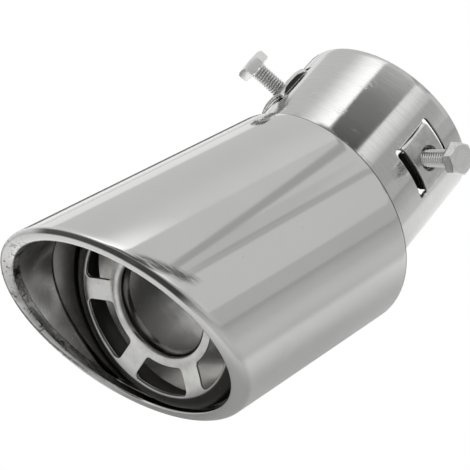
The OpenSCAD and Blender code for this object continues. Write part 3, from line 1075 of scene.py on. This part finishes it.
def buildScrew(name):
    def placed(rows):
        return [[screwPoint(name, x, y, z + screws["standOff"]) for x, y, z in row] for row in rows]

    thread, paintedShade = threadRows()
    skin = Skin()
    shank = skin.tube(placed(shrunk(thread[0], 0.012, 0.6) + thread))
    skin.cap(reversed(shank[0]))
    head = skin.tube(placed(headRows(math.radians(screws["headTurns"][name]))))
    skin.cap(head[-1])
    paintedShade = [0.0] * (2 * screws["around"]) + paintedShade
    paintedShade += [0.0] * (len(skin.points) - len(paintedShade))
    body = "screw_" + name
    meshPiece("clampScrew" + name.capitalize(), skin, "zinc_plate", body, body, sharp=35.0, paintedShade=paintedShade)


nuts = {
    "around": 96,
    "width": 10.0,
    "height": 5.0,
    "bore": 3.05,
    "boreBevel": 0.4,
    "corner": 0.8,
    "chamfer": 0.5,
    "paintedShade": 0.9,
}


def squareRow(inset):          # a square's outline with round corners
    side, rounding = nuts["width"] / 2 - inset, nuts["corner"]
    limit = side - rounding
    row = []
    for a in fullTurn(nuts["around"]):
        x, y = polar(side / max(abs(math.cos(a)), abs(math.sin(a))), a)
        if abs(x) > limit and abs(y) > limit:
            cornerX, cornerY = math.copysign(limit, x), math.copysign(limit, y)
            x, y = polar(rounding, math.atan2(y - cornerY, x - cornerX), cornerX, cornerY)
        row.append((x, y))
    return row


def circleRow(radius):
    return [polar(radius, a) for a in fullTurn(nuts["around"])]


def buildNut(name):
    bore, wide = nuts["bore"], nuts["bore"] + nuts["boreBevel"]
    height, chamfer = nuts["height"], nuts["chamfer"]
    seat = math.sqrt((tabRadius - tip["wall"]) ** 2 - (nuts["width"] / 2) ** 2) - tabRadius
    levels = [(circleRow(bore), 0.5), (circleRow(wide), 0.05)]
    levels += [(squareRow(0.35), 0.05), (squareRow(0.0), 0.35)]
    levels += [(squareRow(0.0), height - chamfer), (squareRow(chamfer), height)]
    levels += [(circleRow(wide), height), (circleRow(bore), height - nuts["boreBevel"])]
    skin = Skin()
    skin.tube([[screwPoint(name, x, y, seat - down) for x, y in row] for row, down in levels], closed=True)
    # painted shade over the whole nut
    paintedShade = [nuts["paintedShade"]] * len(skin.points)
    meshPiece("weldNut" + name.capitalize(), skin, "zinc_plate", "nut_" + name, sharp=35.0, paintedShade=paintedShade)


tacks = {
    "count": 8,
    "firstTurn": 28.0,
    "radius": 1.28,
    "spread": 1.95,
    "roughness": 0.27,
    "rings": 12,
    "around": 24,
}


def buildTacks():
    skin = Skin()
    for index in range(tacks["count"]):
        outward = outwardAt(tacks["firstTurn"] + 360 * index / tacks["count"])
        spot = inletStart + outward * tip["inletRadius"]
        centre = spot + inletAxis * alongToRear(spot)
        sideways = inletAxis.cross(outward)
        rows = []
        for i in range(tacks["rings"] + 1):
            height, level = polar(1.0, math.pi * i / tacks["rings"])
            row = []
            for b in fullTurn(tacks["around"]):
                way = Vector((*polar(level, b), height))
                lump = 1 + tacks["roughness"] * noise.noise(way * 1.6 + Vector((index * 5.1, 0, 0)))
                way *= min(1.0, lump * 0.9)
                point = sideways * way.x * tacks["spread"]
                row.append(centre + point + (outward * way.y + inletAxis * way.z) * tacks["radius"])
            rows.append(row)
        skin.tube(rows)
    meshPiece("tackWelds", skin, "weld", "tack_welds", sharp=80.0)


finishes = {
    "polished_steel": finishMaterial("polishedSteel", polishedSteel),
    "brushed_steel": finishMaterial("brushedSteel", brushedSteel),
    "inner_steel": finishMaterial("innerSteel", innerSteel),
    "satin_steel": finishMaterial("satinSteel", satinSteel),
    "zinc_plate": finishMaterial("zincPlate", zincPlate),
    "weld": finishMaterial("weldMetal", weldMetal),
}
print("finishes made")

buildShell()
buildSleeve()
buildLiner()
buildGrille()
buildEndPlate()
buildInlet()
for name in tip["screwTurns"]:
    buildNut(name)
    buildScrew(name)
buildTacks()


studio = {
    "floorDrop": 0.0002,
    "floorSize": 3.0,
    "floorColour": (0.9, 0.9, 0.89),
    "floorGrain": (0.88, 0.88, 0.87),
    "floorPaintedShade": (0.35, 0.35, 0.345),
    "floorPaintedDark": (0.06, 0.06, 0.06),
    "floorGlowInMetal": 0.2,       # painted light: how white the floor under the object glows in its metal
    "skyBright": 0.95,
    "skyRight": 0.54,
    "ceilingHeight": 0.30,
    "ceilingSize": 1.2,
    "ceilingLevel": 0.68,
    "keyPower": 8.0,
    "keySize": 0.9,
    "keyPlace": (-0.5, -0.2, 0.9),
    "keyAim": (0, -0.07, -0.02),
}


def addWhite(finish, kind, surface, factor):
    white = finish.node(kind, {}, {"Color": (1, 1, 1, 1), "Strength": 1.0})
    return finish.node("MixShader", {}, {0: factor, 1: surface, 2: white})


def stageSheet(name, size, height, face, material):
    corners = [(-size, -size, height), (size, -size, height), (size, size, height), (-size, size, height)]
    mesh = bpy.data.meshes.new(name)
    mesh.from_pydata(corners, [], [face])
    mesh.materials.append(material)
    sheet = bpy.data.objects.new(name, mesh)
    scene.collection.objects.link(sheet)
    return sheet


def floorPaper(finish):        # white to the camera; its painted light and shade are what the metal mirrors, in mm
    x, y, z = finish.axes(finish.place())
    x, y = x * 1000, y * 1000
    # painted shade: dark patches on the floor, which the metal mirrors as dark edges
    farLeft = x.fade(-128, -112) * x.ramp(-300, -250) * y.ramp(-80, -20)
    nearLeft = x.fade(-92, -78) * x.ramp(-200, -170) * y.ramp(-145, -125) * y.fade(-70, -20)
    farRight = x.ramp(74, 92) * 0.42 + x.ramp(110, 220) * 0.16
    under = x.ramp(-78, -60) * x.fade(70, 90) * studio["floorGlowInMetal"]
    colour = finish.layers(
        studio["floorColour"],
        (finish.noise(finish.place(), 60.0, 3.0), studio["floorGrain"]),
        (y.fade(-210, -90) * 0.5, studio["floorPaintedShade"]),
        (farLeft.most(nearLeft) * 0.9, studio["floorPaintedDark"]),
        (farRight, studio["floorPaintedShade"]),
    )
    ray = finish.node("LightPath", out="Is Camera Ray")
    glossy = finish.node("LightPath", out="Is Glossy Ray")
    paper = finish.node("BsdfDiffuse", {}, {"Color": colour})
    return addWhite(finish, "Emission", paper, ray + glossy * under)


def ceilingLight(finish):      # a sheet of light with a dark strip, a bright edge and soft bars, in mm
    x, y, z = finish.axes(finish.place())
    x, y = x * 1000, y * 1000
    dark = x.ramp(-23, -21) * x.fade(184, 190) * y.fade(95, 125)
    bent = y - x * x * 0.0011
    strip = bent.ramp(2, 18, 0.08, 0.22) + bent.ramp(32, 52, 0.0, 0.44)
    glow = x.ramp(-330, -20) ** 2.0 * x.fade(-23, -21) * y.ramp(60, 150, 1.0, 0.1)
    edge = x.ramp(186, 190) * x.fade(220, 360) * y.fade(110, 150)
    side = x.ramp(330, 400) * (y - x * 0.6).fade(-60, 40)
    barOne = (y + x).near(311, 22, 38) * y.ramp(120, 145)
    barTwo = x.near(252, 20, 34) * y.ramp(170, 205)
    between = x.near(190, 35, 60) * y.ramp(150, 175) * y.fade(270, 330)
    bars = (barOne + barTwo * 0.75 + between * 0.3).least(1.0)
    level = (studio["ceilingLevel"] + glow * 0.85 + edge * 0.28) * (1 - side * 0.32) * (1 - bars * 0.34)
    level = level + dark * (strip - level)
    return finish.node("Emission", {}, {"Color": (1.0, 1.0, 0.99, 1.0), "Strength": level})


def buildFloor():
    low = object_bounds()[0].z - studio["floorDrop"]
    material = finishMaterial("floorPaper", floorPaper)
    stageSheet("studioFloor", studio["floorSize"], low, (0, 1, 2, 3), material)


def buildCeiling():
    material = finishMaterial("ceilingLight", ceilingLight)
    size, height = studio["ceilingSize"], studio["ceilingHeight"]
    ceiling = stageSheet("lightCeiling", size, height, (0, 3, 2, 1), material)
    ceiling.visible_camera = False
    ceiling.visible_shadow = False


def buildSky():
    world = bpy.data.worlds.new("studioSky")
    scene.world = world
    world.use_nodes = True
    finish = Finish(world.node_tree)
    x, y, z = finish.axes(finish.node("TexCoord", out="Generated"))
    level = x.ramp(-0.35, 0.35, studio["skyBright"], studio["skyRight"])
    light = finish.node("Background", {}, {"Color": (1, 1, 1, 1), "Strength": level})
    ray = finish.node("LightPath", out="Is Camera Ray")
    finish.node("OutputWorld", {}, {"Surface": addWhite(finish, "Background", light, ray)}, out=None)


def buildKeyLight():
    lamp = bpy.data.lights.new("keyLight", "AREA")
    lamp.shape = "SQUARE"
    lamp.size = studio["keySize"]
    lamp.energy = studio["keyPower"]
    key = bpy.data.objects.new("keyLight", lamp)
    key.location = studio["keyPlace"]
    aim = Vector(studio["keyAim"]) - key.location
    key.rotation_euler = aim.to_track_quat("-Z", "Y").to_euler()
    key.visible_glossy = False
    key.visible_camera = False
    scene.collection.objects.link(key)


camera = {
    "place": (0.30362, -0.45926, 0.23581),
    "azimuth": 38.833,
    "elevation": 26.99,
    "lens": 130.57,
}


def buildCamera():
    data = bpy.data.cameras.new("camera")
    data.sensor_width = 36.0
    data.lens = camera["lens"]
    data.clip_start = 0.01
    data.clip_end = 50.0
    eye = bpy.data.objects.new("camera", data)
    eye.location = camera["place"]
    eye.rotation_euler = (math.radians(90 - camera["elevation"]), 0, math.radians(camera["azimuth"]))
    scene.collection.objects.link(eye)
    scene.camera = eye


buildFloor()
buildCeiling()
buildSky()
buildKeyLight()
buildCamera()
scene.view_settings.view_transform = "Standard"
print("studio made")
